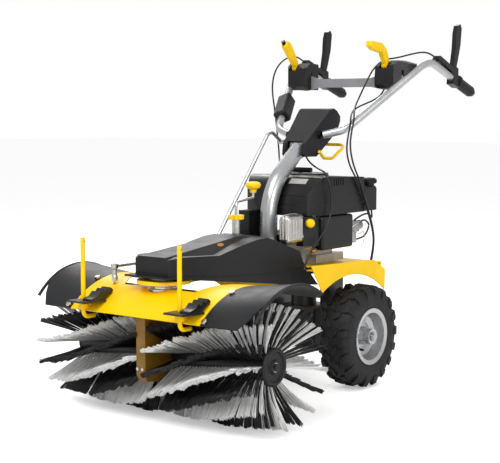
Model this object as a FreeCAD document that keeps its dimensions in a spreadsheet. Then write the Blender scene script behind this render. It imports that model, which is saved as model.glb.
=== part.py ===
import FreeCAD, Part
import math
import os
import Sketcher
from FreeCAD import Placement, Rotation, Vector

# Walk-behind power brush sweeper, modelled in millimetres.
# +X is the machine's left-to-right axis, -Y is the front with the brush, +Z is up.
# The origin is on the ground under the middle of the machine's length.

DIMS = {
    "brush_y": -495, "brush_z": 175, "tip_r": 175, "tip_x": 400, "core_r": 50,
    "core_in": 24, "core_out": 332, "shaft_r": 12.5, "end_cap_r": 52,
    "cover_y": -481, "cover_z": 98, "cover_r": 281, "cover_x": 234, "sheet": 3,
    "fender_y": -482, "fender_z": 178, "fender_r": 220, "fender_sheet": 4,
    "swivel_y": -549, "flange_r": 75, "flange_z": 376.2, "flange_t": 10,
    "spigot_r": 30, "worm_r": 11.5, "worm_shaft_r": 8,
    "post_x": 175, "post_y": -685, "post_r": 6.25, "post_top": 500, "pin_z": 331,
    "axle_y": 119, "axle_z": 159, "axle_r": 10, "wheel_x": 199.5,
    "tyre_r": 159, "tyre_half": 52.5, "rim_r": 86.5, "bead_r": 76.5,
    "deck_z": 370, "deck_half": 191, "side_t": 4, "arch_r": 315,
    "arch_y": 83, "arch_z": 33,
    "tilt_y": -65, "tilt_z": 330, "column_r": 25,
    "crank_y": -234, "sleeve_r": 12, "crank_r": 4,
    "bar_r": 12, "bar_wall": 2, "bar_x": 258, "grip_r": 15.5,
    "yoke_y": 85, "yoke_z": 738, "yoke_r": 8,
    "lever_y": 585, "lever_z": 975, "lever_pin_r": 3,
    "boot_x": 160, "boot_y": 338, "boot_z": 985, "boot_groove_r": 12.4,
    "cable_r": 2.75, "rod_r": 5.5, "loop_r": 5,
    "fit": 0.05, "gap": 0.4,
}

doc = FreeCAD.newDocument("BrushSweeper")
sheet = doc.addObject("Spreadsheet::Sheet", "Dims")
for row, (alias, value) in enumerate(DIMS.items(), start=1):
    sheet.set(f"A{row}", alias)
    sheet.set(f"B{row}", str(value))
    sheet.setAlias(f"B{row}", alias)
doc.recompute()

X_AXIS = Vector(1, 0, 0)
Y_AXIS = Vector(0, 1, 0)
Z_AXIS = Vector(0, 0, 1)
TO_X = Rotation(Vector(1, 1, 1), 120)     # turns local Z onto +X and local X onto +Y
pieces = []


# ---------------------------------------------------------------- helpers

def dim(name):
    return float(DIMS[name])


def number(value):
    if not isinstance(value, str):
        return float(value)
    result = sheet.evalExpression(value)
    return float(getattr(result, "Value", result))


def sized(text):
    """Turns a size written with plain aliases into an expression on the sheet."""
    if not isinstance(text, str):
        return text
    words = text.replace("(", " ( ").replace(")", " ) ").split()
    return " ".join(f"Dims.{word}" if word in DIMS else word for word in words)


def bind(item, name, value):
    value = sized(value)
    if isinstance(value, str):
        item.setExpression(name, value)
    else:
        item.setExpression(name, str(value))


def place(item, x=0, y=0, z=0, rotation=None):
    item.Placement = Placement(Vector(0, 0, 0), rotation or Rotation())
    for axis, value in zip("xyz", (x, y, z)):
        bind(item, f"Placement.Base.{axis}", value)
    return item


def keep(name, item):
    """Registers a finished sub-part; its label names the file it is written to."""
    item.Label = name
    pieces.append(item)
    return item


def scratch(kind, hint="tool"):
    return doc.addObject(kind, hint)


def draw(sketch, outline):
    """Draws a closed outline whose corners are tied to the sheet."""
    corners = [(sized(a), sized(b)) for a, b in outline]
    points = [Vector(number(a), number(b), 0) for a, b in corners]
    count = len(points)
    for index in range(count):
        sketch.addGeometry(Part.LineSegment(points[index], points[(index + 1) % count]), False)
    for index in range(count):
        sketch.addConstraint(Sketcher.Constraint("Coincident", index, 2, (index + 1) % count, 1))
        for kind, value, start in (("DistanceX", corners[index][0], points[index].x),
                                   ("DistanceY", corners[index][1], points[index].y)):
            number_of = sketch.addConstraint(Sketcher.Constraint(kind, -1, 1, index, 1, start))
            if isinstance(value, str):
                sketch.setExpression(f"Constraints[{number_of}]", value)


def new_sketch(plane):
    body = scratch("PartDesign::Body", "body")
    sketch = body.newObject("Sketcher::SketchObject", "outline")
    role = f"{plane}_Plane"
    origin_plane = [item for item in body.Origin.OriginFeatures if item.Role == role][0]
    sketch.AttachmentSupport = (origin_plane, [""])
    sketch.MapMode = "FlatFace"
    return body, sketch


def lathe(outline):
    """Turns an outline of (radius, height) corners about the body's own Z axis."""
    body, sketch = new_sketch("XZ")
    draw(sketch, outline)
    turn = body.newObject("PartDesign::Revolution", "turn")
    turn.Profile = sketch
    turn.ReferenceAxis = (sketch, ["V_Axis"])
    turn.Angle = 360
    return body


def slab(plane, outline, low, high):
    """Pads an outline drawn in the XY, XZ or YZ plane from low to high."""
    body, sketch = new_sketch(plane)
    draw(sketch, outline)
    start = number(sized(low))
    end = number(sized(high))
    offset = -end if plane == "XZ" else start
    sketch.AttachmentOffset = Placement(Vector(0, 0, offset), Rotation())
    pad = body.newObject("PartDesign::Pad", "pad")
    pad.Profile = sketch
    if isinstance(low, str) or isinstance(high, str):
        bind(pad, "Length", f"( {high} ) - ( {low} )")
    else:
        pad.Length = end - start
    return body


def cylinder(radius, length, x=0, y=0, z=0, rotation=None):
    item = scratch("Part::Cylinder")
    bind(item, "Radius", radius)
    bind(item, "Height", length)
    return place(item, x, y, z, rotation)


def box(x0, x1, y0, y1, z0, z1):
    item = scratch("Part::Box")
    for name, low, high in (("Length", x0, x1), ("Width", y0, y1), ("Height", z0, z1)):
        bind(item, name, f"( {high} ) - ( {low} )")
    return place(item, x0, y0, z0)


def fuse(*items):
    item = scratch("Part::MultiFuse", "joined")
    item.Shapes = list(items)
    item.Refine = True
    return item


def cut(base, *tools):
    item = scratch("Part::Cut", "cut")
    item.Base = base
    item.Tool = tools[0] if len(tools) == 1 else fuse(*tools)
    return item


def common(*items):
    item = scratch("Part::MultiCommon", "common")
    item.Shapes = list(items)
    return item


def group(*items):
    item = scratch("Part::Compound", "group")
    item.Links = list(items)
    return item


def mirrored(source):
    item = scratch("Part::Mirroring", "mirrored")
    item.Source = source
    item.Base = Vector(0, 0, 0)
    item.Normal = X_AXIS
    return item


def both_sides(source):
    return group(source, mirrored(source))


def rounded(base, radius, wanted):
    """Rounds the edges of a finished shape for which wanted(middle, edge) is true."""
    doc.recompute()
    chosen = []
    for index, edge in enumerate(base.Shape.Edges, start=1):
        if wanted(edge.CenterOfMass, edge):
            chosen.append((index, radius, radius))
    item = scratch("Part::Fillet", "rounded")
    item.Base = base
    item.Edges = chosen
    return item


def arc_points(start, corner, end, radius):
    """Gives the three points of the arc that rounds a corner of a path."""
    back = (start - corner).normalize()
    ahead = (end - corner).normalize()
    half = back.getAngle(ahead) / 2
    reach = radius / math.tan(half)
    centre = corner + (back + ahead).normalize() * (radius / math.sin(half))
    middle = centre + (corner - centre).normalize() * radius
    return corner + back * reach, middle, corner + ahead * reach


def path_wire(points, radii):
    """Joins straight runs with tangent arcs."""
    points = [Vector(*point) for point in points]
    edges = []
    here = points[0]
    for index in range(1, len(points) - 1):
        entry, middle, leave = arc_points(points[index - 1], points[index], points[index + 1],
                                          radii[index - 1])
        edges.append(Part.LineSegment(here, entry).toShape())
        edges.append(Part.Arc(entry, middle, leave).toShape())
        here = leave
    edges.append(Part.LineSegment(here, points[-1]).toShape())
    return Part.Wire(edges)


def bar(points, radii, radius):
    """Sweeps a round section along straight runs and tangent arcs."""
    spine = scratch("Part::Feature", "spine")
    spine.Shape = path_wire(points, radii)
    ring = scratch("Part::Circle", "section")
    bind(ring, "Radius", radius)
    heading = (Vector(*points[1]) - Vector(*points[0])).normalize()
    ring.Placement = Placement(Vector(*points[0]), Rotation(Z_AXIS, heading))
    sweep = scratch("Part::Sweep", "sweep")
    sweep.Sections = [ring]
    sweep.Spine = (spine, [f"Edge{index + 1}" for index in range(len(spine.Shape.Edges))])
    sweep.Solid = True
    sweep.Frenet = False
    return sweep


def gentle_radii(points):
    """Gives each corner of a cable the largest arc that its two runs allow."""
    vectors = [Vector(*point) for point in points]
    radii = []
    for index in range(1, len(vectors) - 1):
        before = vectors[index] - vectors[index - 1]
        after = vectors[index + 1] - vectors[index]
        turn = before.getAngle(after)
        radii.append(0.45 * min(before.Length, after.Length) / math.tan(turn / 2))
    return radii


def cable(name, points, radius):
    radii = gentle_radii(points)
    sweep = bar(points, radii, radius)
    doc.recompute()
    length = path_wire(points, radii).Length
    section = math.pi * number(sized(radius)) ** 2
    print(f"{name}: {length:.0f} mm, volume ratio {sweep.Shape.Volume / (section * length):.4f}, "
          f"radii {[round(value) for value in radii]}")
    return sweep


def shell_arc(y, z, radius, thickness, start, end, x0, x1):
    """Bends a sheet round the X axis between two angles measured up from +Y."""
    skins = []
    for size in (radius, f"{radius} - {thickness}"):
        skin = scratch("Part::Cylinder")
        bind(skin, "Radius", size)
        skin.setExpression("Height", str(x1 - x0))
        skin.Angle = end - start
        skins.append(place(skin, x0, y, z, Rotation(X_AXIS, start) * TO_X))
    return cut(skins[0], skins[1])


def hex_bolt(across, height, x, y, z, rotation=None):
    head = scratch("Part::Prism")
    head.Polygon = 6
    head.Circumradius = across / math.sqrt(3)
    head.Height = height
    return place(head, x, y, z, rotation)


# ---------------------------------------------------------------- brush roller

def make_brush():
    shaft = cylinder("shaft_r", "2 * core_out + 18", "0 - core_out - 9", "brush_y", "brush_z", TO_X)
    keep("brush_shaft", shaft)
    core = lathe([("shaft_r", "core_in"), ("core_r", "core_in"), ("core_r", "core_out"),
                  ("shaft_r", "core_out")])
    place(core, 0, "brush_y", "brush_z", TO_X)
    keep("brush_cores", both_sides(core))
    cap = lathe([("shaft_r", "core_out"), ("end_cap_r", "core_out"),
                 ("end_cap_r", "core_out + 5"), ("end_cap_r - 5", "core_out + 9"),
                 ("end_cap_r - 11", "core_out + 9"), ("end_cap_r - 14", "core_out + 4"),
                 (21, "core_out + 4"), (18, "core_out + 9"), ("shaft_r", "core_out + 9")])
    place(cap, 0, "brush_y", "brush_z", TO_X)
    bolt = hex_bolt(19, 6, "core_out + 9", "brush_y", "brush_z", TO_X)
    keep("brush_end_caps", both_sides(group(cap, bolt)))
    bristles = lathe([("core_r", "core_in"), ("tip_r", 18), ("tip_r", 372), (166, "tip_x"),
                      (148, 392), ("core_r", "core_out - 2")])
    place(bristles, 0, "brush_y", "brush_z", TO_X)
    keep("bristles", both_sides(bristles))
    wheel = lathe([("shaft_r", -8), (42, -8), (42, 8), ("shaft_r", 8)])
    keep("worm_wheel", place(wheel, 0, "brush_y", "brush_z", TO_X))


def make_worm_shaft():
    worm = lathe([(0, 125), ("worm_shaft_r", 125), ("worm_shaft_r", 148), ("worm_r", 150),
                  ("worm_r", 200), ("worm_shaft_r", 202), ("worm_shaft_r", 398), (45, 398),
                  (45, 400), (38, 404), (38, 410), (45, 414), (45, 416), (10, 416), (10, 426),
                  (0, 426)])
    keep("worm_shaft", place(worm, 0, "swivel_y", 0))


# ---------------------------------------------------------------- brush head

def make_gear_case():
    case = slab("YZ", [(-645, 136), (-645, 314), (-602, 338), (-576, 350), (-522, 350),
                       (-470, 240), (-445, 190), (-445, 140), (-475, 118), (-600, 112),
                       (-638, 118)], -16, 16)
    wheel_room = cylinder(47, 26, -13, "brush_y", "brush_z", TO_X)
    worm_room = cylinder(12.5, 218, 0, "swivel_y", 132)
    shaft_bore = cylinder("shaft_r + fit", 40, -20, "brush_y", "brush_z", TO_X)
    worm_bore = cylinder("worm_shaft_r + fit", 12, 0, "swivel_y", 121)
    keep("gear_case", cut(case, wheel_room, worm_room, shaft_bore, worm_bore))


def make_head_frame():
    floor = slab("XY", [(-226, -580), (226, -580), (226, -500), (-226, -500)], 350.5, 355.5)
    ends = [box(x, x + 4, -580, -500, 350.5, 357) for x in (-230, 226)]
    bore = cylinder(20, 10, 0, "swivel_y", 348)
    keep("head_frame", cut(fuse(floor, *ends), bore))


def make_swivel_boss():
    boss = lathe([("worm_shaft_r + fit", 355.5), (42, 355.5), (42, 361), (36, 363), (36, 368),
                  (38, 370), (38, "flange_z - gap"), ("spigot_r", "flange_z - gap"),
                  ("spigot_r", 387), (40, 387), (40, 392), ("worm_shaft_r + fit", 392)])
    keep("swivel_boss", place(boss, 0, "swivel_y", 0))


def make_brush_cover():
    sheet_arc = shell_arc("cover_y", "cover_z", "cover_r", "sheet", 64, 134.2, -234, 234)
    notch = slab("XY", [(-128, -572), (128, -572), (160, -505), (205, -440), (205, -300),
                        (-205, -300), (-205, -440), (-160, -505)], 250, 420)
    pin_hole = cylinder(5, 60, -162, -575, 340)
    boss_hole = cylinder(46, 90, 0, "swivel_y", 320)
    keep("brush_cover", cut(sheet_arc, notch, boss_hole, pin_hole))


def make_fenders():
    inner_band = arc_band(236, dim("cover_y"), dim("cover_z"), dim("cover_r"), 64, 134.2)
    outer_band = arc_band(398, dim("fender_y"), dim("fender_z"), dim("fender_r"), 50, 147)
    arc = scratch("Part::Loft", "loft")
    arc.Sections = [inner_band, outer_band]
    arc.Solid = True
    arc.Ruled = True
    plan = slab("XY", [(230, -700), (318, -700), (346, -668), (368, -645), (385, -618),
                       (396, -590), (400, -560), (400, -400), (394, -372), (380, -348),
                       (350, -320), (230, -320)], 200, 420)
    roll = scratch("Part::Torus")
    roll.Radius1 = 217
    roll.Radius2 = 4.5
    roll.Angle3 = 84
    place(roll, 393, "fender_y", "fender_z", Rotation(X_AXIS, 56) * TO_X)
    keep("fenders", both_sides(fuse(common(arc, plan), roll)))


def arc_band(x, y, z, radius, start, end):
    """Closed section of a bent sheet across the X axis."""
    def at(size, angle):
        turn = math.radians(angle)
        return Vector(x, y + size * math.cos(turn), z + size * math.sin(turn))
    middle = (start + end) / 2
    inside = radius - dim("fender_sheet")
    band = scratch("Part::Feature", "band")
    band.Shape = Part.Wire([
        Part.Arc(at(radius, start), at(radius, middle), at(radius, end)).toShape(),
        Part.LineSegment(at(radius, end), at(inside, end)).toShape(),
        Part.Arc(at(inside, end), at(inside, middle), at(inside, start)).toShape(),
        Part.LineSegment(at(inside, start), at(radius, start)).toShape()])
    return band


def make_posts():
    members = []
    for side in (-1, 1):
        x = side * dim("post_x")
        y = dim("post_y")
        path = [(x, y + 42, 281), (x, y, 281), (x, y, dim("pin_z"))]
        foot = bar(path, [18], "post_r - 0.5")
        pin = cylinder("post_r", "post_top - pin_z", x, y, "pin_z")
        hole = cylinder(2.6, 20, x - 10, y, 490, TO_X)
        clamp = lathe([("post_r - 0.45", 306), (13, 306), (13, 324), ("post_r - 0.45", 324)])
        place(clamp, x, y, 0)
        gusset = slab("YZ", [(y + 12, 307), (y + 15, 307), (y + 34, 323.6), (y + 12, 323.6)],
                      x - 6, x + 6)
        members += [cut(fuse(foot, pin), hole), fuse(clamp, gusset)]
    keep("posts", group(*members))


def make_latches():
    members = []
    for side in (-1, 1):
        x = side * dim("post_x")
        plate = slab("XY", [(x - 26, -720), (x + 40, -720), (x + 52, -648), (x - 20, -648)],
                     324.4, 330)
        hole = cylinder("post_r + gap", 20, x, "post_y", 318)
        block = slab("YZ", [(-700, 330), (-649, 330), (-637, 338), (-622, 345), (-616, 353),
                            (-626, 361), (-637, 351), (-645, 359), (-656, 346), (-665, 353),
                            (-678, 341), (-700, 336)], x + 13, x + 47)
        members.append(fuse(cut(plate, hole), block))
    keep("latches", group(*members))


def make_head_fasteners():
    pin = lathe([(0, 364), (4.8, 364), (4.8, 372), (9, 372), (9, 384), (7, 386), (7, 403),
                 (4, 405), (4, 420), (0, 420)])
    place(pin, -162, -575, 0)
    bolts = []
    for lean in (16, 42):
        angle = math.radians(90 + lean)
        reach = dim("cover_r") + 2
        bolts.append(hex_bolt(15, 6, 246, dim("cover_y") + reach * math.cos(angle),
                              dim("cover_z") + reach * math.sin(angle), Rotation(X_AXIS, lean)))
    keep("head_fasteners", group(pin, both_sides(group(*bolts))))


def make_tie_rod():
    eye = lathe([(4.05, 406), (11, 406), (11, 418), (4.05, 418)])
    place(eye, -162, -575, 0)
    rod = bar([(-162, -565.5, 412), (-160, -480, 412), (-126, -247, 402)], [300], 5)
    joined = cut(fuse(eye, rod), cylinder(4.05, 20, -162, -575, 402))
    keep("tie_rod", joined)


# ---------------------------------------------------------------- boom and belt cover

def make_boom_arm():
    flange = lathe([("spigot_r + fit", "flange_z"), ("flange_r", "flange_z"),
                    ("flange_r", "flange_z + flange_t"),
                    ("spigot_r + fit", "flange_z + flange_t")])
    place(flange, 0, "swivel_y", 0)
    rail_outline = [(-520, "flange_z"), (-410, "flange_z"), (-300, 361), (-216, 318),
                    (-120, 306), (-65, 308), (-45, 322), (-45, 338), (-65, 352),
                    (-200, 374), (-420, "flange_z + flange_t"), (-520, "flange_z + flange_t")]
    rails = [slab("YZ", rail_outline, x, x + 6) for x in (-54, 48)]
    bore = cylinder("axle_r + fit", 120, -60, "tilt_y", "tilt_z", TO_X)
    keep("boom_arm", cut(fuse(flange, *rails), bore))


def make_belt_cover():
    side = [(-599, 400), (-599, 446), (-566, 452), (-426, 446), (-330, 466), (-262, 477),
            (-214, 479), (-176, 468), (-69, 428), (-57, 397), (2, 321), (-112, 332),
            (-263, 353), (-566, 392)]
    plan = [(-60, -599), (60, -599), (80, -566), (95, -426), (100, -214), (112, -69),
            (130, 4), (-130, 4), (-112, -69), (-100, -214), (-95, -426), (-80, -566)]
    body = common(slab("YZ", side, -140, 140), slab("XY", plan, 300, 500))
    crown = wedge_loft([(-599, 56, 443, 50, 452), (-244, 97, 443, 36, 487),
                        (-150, 97, 443, 30, 474)])
    room = common(slab("YZ", [(-594, 380), (-594, 441), (-426, 441), (-330, 460),
                              (-214, 472), (-80, 424), (-66, 395), (-8, 324), (-8, 290),
                              (-120, 290), (-300, 330)], -130, 130),
                  slab("XY", [(-55, -594), (55, -594), (75, -562), (90, -426), (95, -214),
                              (107, -69), (124, 0), (-124, 0), (-107, -69), (-95, -214),
                              (-90, -426), (-75, -562)], 280, 490))
    upper_room = wedge_loft([(-590, 50, 438, 45, 448), (-244, 91, 438, 33, 482),
                             (-160, 91, 438, 28, 470)])
    lip = slab("XY", [(-80, -622), (80, -622), (80, -566), (60, -599), (-60, -599),
                      (-80, -566)], 396, 401)
    column_slot = box(-30, 30, -112, 20, 290, 500)
    rear_opening = box(-92, 92, -112, 20, 290, 392)
    column_end = cylinder(30, 210, 0, -106, 290)
    sleeve_hole = cylinder("sleeve_r", 60, 0, "crank_y", 450)
    keep("belt_cover", cut(fuse(body, crown, lip), room, upper_room, column_slot, column_end,
                           rear_opening, sleeve_hole))


def wedge_loft(stations):
    """Lofts trapezoids given as (y, bottom half width, bottom z, top half width, top z)."""
    sections = []
    for y, low_half, low, top_half, top in stations:
        section = scratch("Part::Polygon", "section")
        section.Nodes = [Vector(-low_half, y, low), Vector(low_half, y, low),
                         Vector(top_half, y, top), Vector(-top_half, y, top)]
        section.Close = True
        sections.append(section)
    loft = scratch("Part::Loft", "loft")
    loft.Sections = sections
    loft.Solid = True
    loft.Ruled = True
    return loft


def make_crank():
    sleeve = lathe([("crank_r + fit", 466), ("sleeve_r", 466), ("sleeve_r", 528),
                    ("crank_r + fit", 528)])
    keep("crank_sleeve", place(sleeve, 0, "crank_y", 0))
    hub = cylinder(19, 13, 0, "crank_y", 529)
    lobes = []
    for index in range(7):
        angle = math.radians(index * 360 / 7)
        lobes.append(cylinder(6.5, 13, 17.5 * math.cos(angle),
                              dim("crank_y") + 17.5 * math.sin(angle), 529))
    bore = cylinder("crank_r + fit", 20, 0, "crank_y", 526)
    keep("star_nut", cut(fuse(hub, *lobes), bore))
    y = dim("crank_y")
    rod = bar([(0, y, 440), (0, y, 580), (0, y + 82, 588), (0, y + 82, 603)], [16, 6], "crank_r")
    keep("crank_rod", rod)
    knob = lathe([(0, 603.4), (9, 603.4), (10, 612), (20, 618), (23, 625), (21, 632), (12, 635.5),
                  (0, 636)])
    keep("crank_knob", place(knob, 0, y + 82, 0))


# ---------------------------------------------------------------- wheels

def make_wheels():
    tread = [("bead_r", -42.9), (87.5, -46.4), (90, "0 - tyre_half"), (120, "0 - tyre_half"), (146, -50),
             (156, -40), ("tyre_r", -18), ("tyre_r", 18), (156, 40), (146, 50),
             (120, "tyre_half"), (90, "tyre_half"), (87.5, 46.4), ("bead_r", 42.9), ("bead_r", 38), (90, 42),
             (120, 45), (140, 42), (149, 0), (140, -42), (120, -45), (90, -42), ("bead_r", -38)]
    rim = [("axle_r + fit", -46), (24, -46), (24, 6), (46, 6), (60, 14), (73, 6), (73, -47),
           ("rim_r", -50), ("rim_r", -46.5), ("bead_r", -43), ("bead_r", 43),
           ("rim_r", 46.5), ("rim_r", 50), (73, 47), (73, 12), (60, 19), (46, 11), (28, 11),
           (24, 52), ("axle_r + fit", 52)]
    for name, outline in (("tyre", tread), ("rim", rim)):
        right = place(lathe(outline), "wheel_x", "axle_y", "axle_z", TO_X)
        keep(f"{name}_right", right)
        keep(f"{name}_left", mirrored(right))


def make_axle():
    shaft = cylinder("axle_r", 520, -260, "axle_y", "axle_z", TO_X)
    clips = []
    for x in (-258, 254.5):
        clips.append(cylinder(14, 3.5, x, "axle_y", "axle_z", TO_X))
    keep("axle", fuse(shaft, *clips))
    case = box(-70, 70, 62, 178, 108, 238)
    case = rounded(case, 12, lambda at, edge: abs(abs(at.x) - 70) < 1)
    top = cylinder(40, 40, 0, 110, 230)
    keep("transmission", cut(fuse(case, top), cylinder("axle_r", 160, -80, "axle_y", "axle_z",
                                                       TO_X)))
    hanger = slab("YZ", [(60, 369.6), (60, 250), (95, 135), (145, 135), (180, 250),
                         (180, 369.6)], 96, 102)
    hole = cylinder("axle_r", 20, 90, "axle_y", "axle_z", TO_X)
    return both_sides(cut(hanger, hole))


# ---------------------------------------------------------------- chassis

def make_chassis(hangers):
    plate = box("0 - deck_half", "deck_half", -127, 262, "deck_z", "deck_z + 4")
    lip = box("0 - deck_half", "deck_half", 258, 262, 330, "deck_z")
    opening = cylinder(27, 20, 0, 110, 362)
    cover_slots = [box(x, x + 46, -130, 14, 360, 380) for x in (-136, 90)]
    corners = [box(x, x + 61, -130, -70, 360, 380) for x in (-196, 135)]
    keep("deck", cut(fuse(plate, lip), opening, *cover_slots, *corners))
    panel = slab("YZ", [(-127, 395), (213, 382), (280, 347), (277, 268), (262, 262),
                        (-30, 262), (-67, 307)], "deck_half", "deck_half + side_t")
    arch = cylinder("arch_r", 20, 185, "arch_y", "arch_z", TO_X)
    keep("side_panels", both_sides(cut(panel, arch)))
    cheeks = []
    for x in (-66, 60):
        cheeks.append(slab("YZ", [(-127, 369.6), (-95, 312), (-40, 312), (-20, 369.6)], x, x + 6))
    hole = cylinder("axle_r", 140, -70, "tilt_y", "tilt_z", TO_X)
    keep("frame_brackets", group(hangers, *[cut(cheek, hole) for cheek in cheeks]))
    keep("tilt_shaft", cylinder("axle_r", 144, -72, "tilt_y", "tilt_z", TO_X))


def make_column():
    path = [(0, -76, 375), (0, -78, 603), (0, 76, 728)]
    outer = bar(path, [180], "column_r")
    head = cylinder(19, 50, -25, "yoke_y", "yoke_z", TO_X)
    bore = cylinder("yoke_r + fit", 60, -30, "yoke_y", "yoke_z", TO_X)
    foot = slab("XY", [(-45, -120), (45, -120), (45, -30), (-45, -30)], 374.4, 382)
    joined = fuse(outer, foot, cut(head, bore))
    joined.Refine = False
    keep("column", joined)


# ---------------------------------------------------------------- engine

def make_engine():
    oil_neck = fuse(box(-118, -70, 58, 82, 392, 412), cylinder(12, 80, -106, 70, 400))
    crankcase = fuse(cylinder(88, 96, 0, 110, 374.4), box(-95, 95, 40, 190, 380, 404),
                     box(-70, 45, -46, 60, 408, 470), oil_neck)
    fins = []
    for index in range(7):
        y = -128 + 12 * index
        fins.append(box(-74, -36, y, y + 5, 472, 546))
    fins.append(box(-68, -38, -124, 20, 464, 528))
    keep("engine_block", fuse(crankcase, *fins))
    pulley = lathe([(0, 336), (34, 336), (34, 338), (27, 342), (27, 350), (34, 354), (34, 356),
                    (12.5, 356), (12.5, 374), (0, 374)])
    keep("engine_pulley", place(pulley, 0, 110, 0))


def make_blower_housing():
    side = [(-46, 530), (-46, 545), (-24, 600), (-8, 622), (14, 642), (40, 648), (258, 638),
            (268, 622), (268, 530)]
    plan = [(-150, 30), (-125, -20), (-70, -44), (60, -44), (108, -28), (134, 8), (141, 60),
            (141, 236), (118, 268), (-120, 268), (-150, 230)]
    body = common(slab("YZ", side, -160, 150), slab("XY", plan, 500, 660))
    dome = lathe([(0, 636), (82, 636), (80, 651), (0, 652)])
    place(dome, -20, 130, 0)
    room = common(slab("YZ", [(-40, 520), (-40, 546), (-19, 597), (-4, 616), (17, 636),
                              (42, 642), (256, 632), (262, 620), (262, 520)], -145, 135),
                  slab("XY", [(-144, 30), (-120, -14), (-66, -38), (58, -38), (104, -22),
                              (128, 10), (135, 60), (135, 232), (114, 262), (-116, 262),
                              (-144, 226)], 510, 655))
    slots = []
    for index in range(5):
        slots.append(box(128, 146, 66 + 12 * index, 71 + 12 * index, 618, 640))
    keep("blower_housing", cut(fuse(body, dome), room, *slots))


def make_engine_fittings():
    tank = box(-30, 122, 268.4, 350, 528, 608)
    tank = rounded(tank, 14, lambda at, edge: at.y > 340 or at.z > 600)
    neck = cylinder(17, 12, 100, 328, 600)
    keep("fuel_tank", fuse(tank, neck))
    keep("fuel_cap", place(lathe([(0, 612.4), (22, 612.4), (24, 616), (24, 626), (20, 631),
                                  (0, 633)]), 100, 328, 0))
    oil_cap = lathe([(0, 480.4), (14, 480.4), (18, 484), (18, 494), (12, 498), (0, 498)])
    keep("oil_cap", place(oil_cap, -106, 70, 0))
    muffler = box(84, 122, -142, -62, 456, 538)
    muffler = rounded(muffler, 13, lambda at, edge: at.y < -100 or abs(at.x - 122) < 2)
    pipe = cylinder(11, 23, 100, -71.4, 472, Rotation(X_AXIS, -90))
    keep("muffler", fuse(muffler, pipe))
    primer_lean = Rotation(Z_AXIS, Vector(0.8, -0.6, 0))
    panel = box(104, 142, 6, 176, 424, 527)
    panel = rounded(panel, 9, lambda at, edge: abs(at.x - 142) < 1 or abs(edge.Length - 38) < 1)
    holder = slab("XY", [(84, -48), (108, -48), (132, -16), (132, 5), (84, 5)], 440, 528)
    holder = fuse(holder, cylinder(18, 7, 117.6, -30.2, 510, primer_lean))
    holder = cut(holder, cylinder(14.2, 30, 112.8, -26.6, 510, primer_lean))
    keep("filter_cover", fuse(panel, holder))
    bulb = lathe([(0, 0.4), (13.5, 0.4), (13.5, 12), (11, 17), (6, 20), (0, 21)])
    keep("primer_bulb", place(bulb, 120, -32, 510, primer_lean))
    bowl = fuse(cylinder(19, 34, 104, 214, 432), box(84, 124, 194, 236, 466, 500),
                cylinder(15, 30, 104, 236, 484, Rotation(X_AXIS, -90)))
    keep("carburettor", bowl)
    bar_end = cylinder(8, 84, -64, 118, 661, TO_X)
    stem = cylinder(6, 10, -22, 118, 652.4)
    grip = fuse(bar_end, stem)
    keep("starter_grip", grip)


# ---------------------------------------------------------------- handlebar

def bar_path(side, start=66, end=712):
    low = [(side * start, 118, 771), (side * 129, 147, 787), (side * 258, 425, 1006)]
    slope = (908 - 1006) / (712 - 425)
    return low + [(side * 258, end, 1006 + slope * (end - 425))]


def bar_tubes(radius, start=66, end=712):
    return [bar(bar_path(side, start, end), [60, 75], radius) for side in (-1, 1)]


def along_bar(y, offset=0):
    """Point above the straight rear part of the right-hand tube, and its heading."""
    heading = Vector(0, 287, -98).normalize()
    point = Vector(dim("bar_x"), y, 1006 - 98 * (y - 425) / 287)
    return point + Vector(0, 98, 287).normalize() * offset, heading


def make_handlebar():
    outer = bar_tubes("bar_r")
    inner = bar_tubes("bar_r - bar_wall")
    cross = cylinder("bar_r", 120, -60, 118, 771, TO_X)
    plates = []
    for x in (-36, 30):
        plates.append(slab("YZ", [(70, 738), (78, 721), (96, 721), (136, 762), (136, 780),
                                  (120, 787), (105, 778)], x, x + 6))
    bolt = cylinder("yoke_r", 76, -38, "yoke_y", "yoke_z", TO_X)
    tubes = [cut(shell, core) for shell, core in zip(outer, inner)]
    keep("handlebar_tubes", group(*tubes))
    keep("handle_yoke", fuse(cross, bolt, *plates))
    return outer


def make_console():
    outline = [(47, 712), (53, 745), (166, 850), (182, 853), (228, 828), (226, 812), (206, 790),
               (104, 704), (56, 704)]
    shell = slab("YZ", outline, -72, 72)
    plan = slab("XY", [(-40, 40), (40, 40), (58, 150), (64, 196), (54, 232), (-54, 232),
                       (-64, 196), (-58, 150)], 680, 870)
    shell = common(shell, plan)
    room = slab("YZ", [(60, 744), (168, 843), (182, 846), (220, 825), (218, 814), (136, 742),
                       (136, 690), (58, 690)], -66, 66)
    room_plan = slab("XY", [(-35, 46), (35, 46), (53, 152), (58, 196), (50, 226), (-50, 226),
                            (-58, 196), (-53, 152)], 680, 860)
    tubes = bar_tubes("bar_r + gap")
    cross_hole = cylinder("bar_r + gap", 150, -75, 118, 771, TO_X)
    front_slot = box(-29, 29, 0, 100, 690, 752)
    keep("console", cut(shell, common(room, room_plan), front_slot, cross_hole, *tubes))


def make_cross_plate(tubes):
    plate = slab("XZ", [(-226, 928), (-226, 944), (-204, 968), (-150, 966), (-100, 950),
                        (100, 950), (150, 966), (204, 968), (226, 944), (226, 928),
                        (204, 917), (150, 912), (100, 922), (-100, 922), (-150, 912),
                        (-204, 917)], 333, 338)
    keep("cross_plate", cut(plate, *tubes))


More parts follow.
